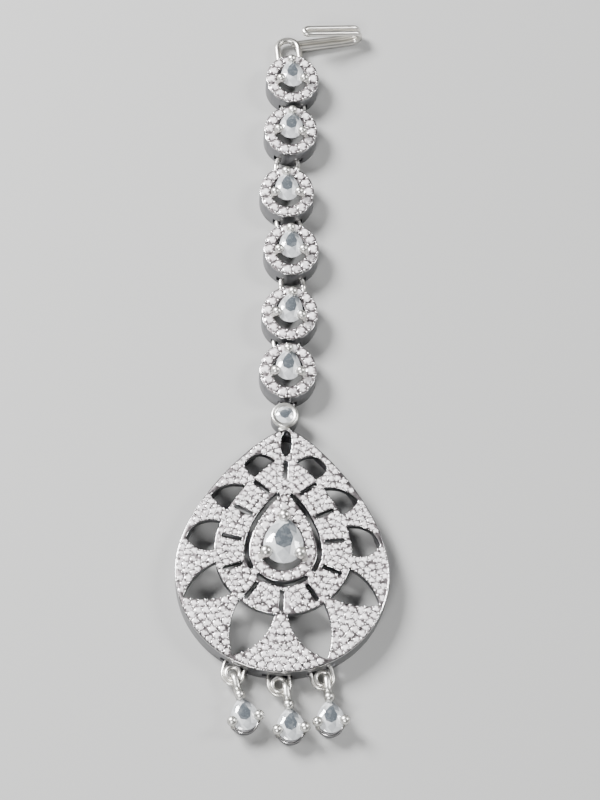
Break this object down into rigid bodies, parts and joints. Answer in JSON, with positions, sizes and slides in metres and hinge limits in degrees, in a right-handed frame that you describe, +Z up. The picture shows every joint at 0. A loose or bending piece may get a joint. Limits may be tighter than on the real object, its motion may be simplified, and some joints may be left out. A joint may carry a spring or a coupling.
{
  "type": "cubic zirconia maang tikka",
  "caption": "Forehead jewel lying face up: a wire hook, a chain of round halo links with pear stones, a pierced teardrop pendant and small pear drops.",
  "frame": {"origin": "middle of the footprint, on the surface the jewel lies on", "axes": "+Y along the jewel from the drops to the hook, +Z up out of the stones' faces, +X to the right of the jewel seen from its face"},
  "size_m": [0.0322, 0.1308, 0.0051],
  "materials": {
    "rhodium_cast": "polished rhodium-white plating on cast metal, with fine beads",
    "rhodium_wire": "polished rhodium-white plating on round wire",
    "clear_stone": "clear faceted cubic zirconia, polished"
  },
  "bodies": {
    "root": {"hook": "rhodium_wire", "link_1_setting": "rhodium_cast", "link_1_stone": "clear_stone", "link_2_setting": "rhodium_cast", "link_2_stone": "clear_stone", "link_3_setting": "rhodium_cast", "link_3_stone": "clear_stone", "link_4_setting": "rhodium_cast", "link_4_stone": "clear_stone", "link_5_setting": "rhodium_cast", "link_5_stone": "clear_stone", "link_6_setting": "rhodium_cast", "link_6_stone": "clear_stone", "jump_ring_1_2": "rhodium_wire", "jump_ring_2_3": "rhodium_wire", "jump_ring_3_4": "rhodium_wire", "jump_ring_4_5": "rhodium_wire", "jump_ring_5_6": "rhodium_wire", "pendant_setting": "rhodium_cast", "centre_stone": "clear_stone", "bezel_stone": "clear_stone", "drop_ring_left": "rhodium_wire", "drop_setting_left": "rhodium_cast", "drop_stone_left": "clear_stone", "drop_ring_centre": "rhodium_wire", "drop_setting_centre": "rhodium_cast", "drop_stone_centre": "clear_stone", "drop_ring_right": "rhodium_wire", "drop_setting_right": "rhodium_cast", "drop_stone_right": "clear_stone"}
  },
  "joints": []
}
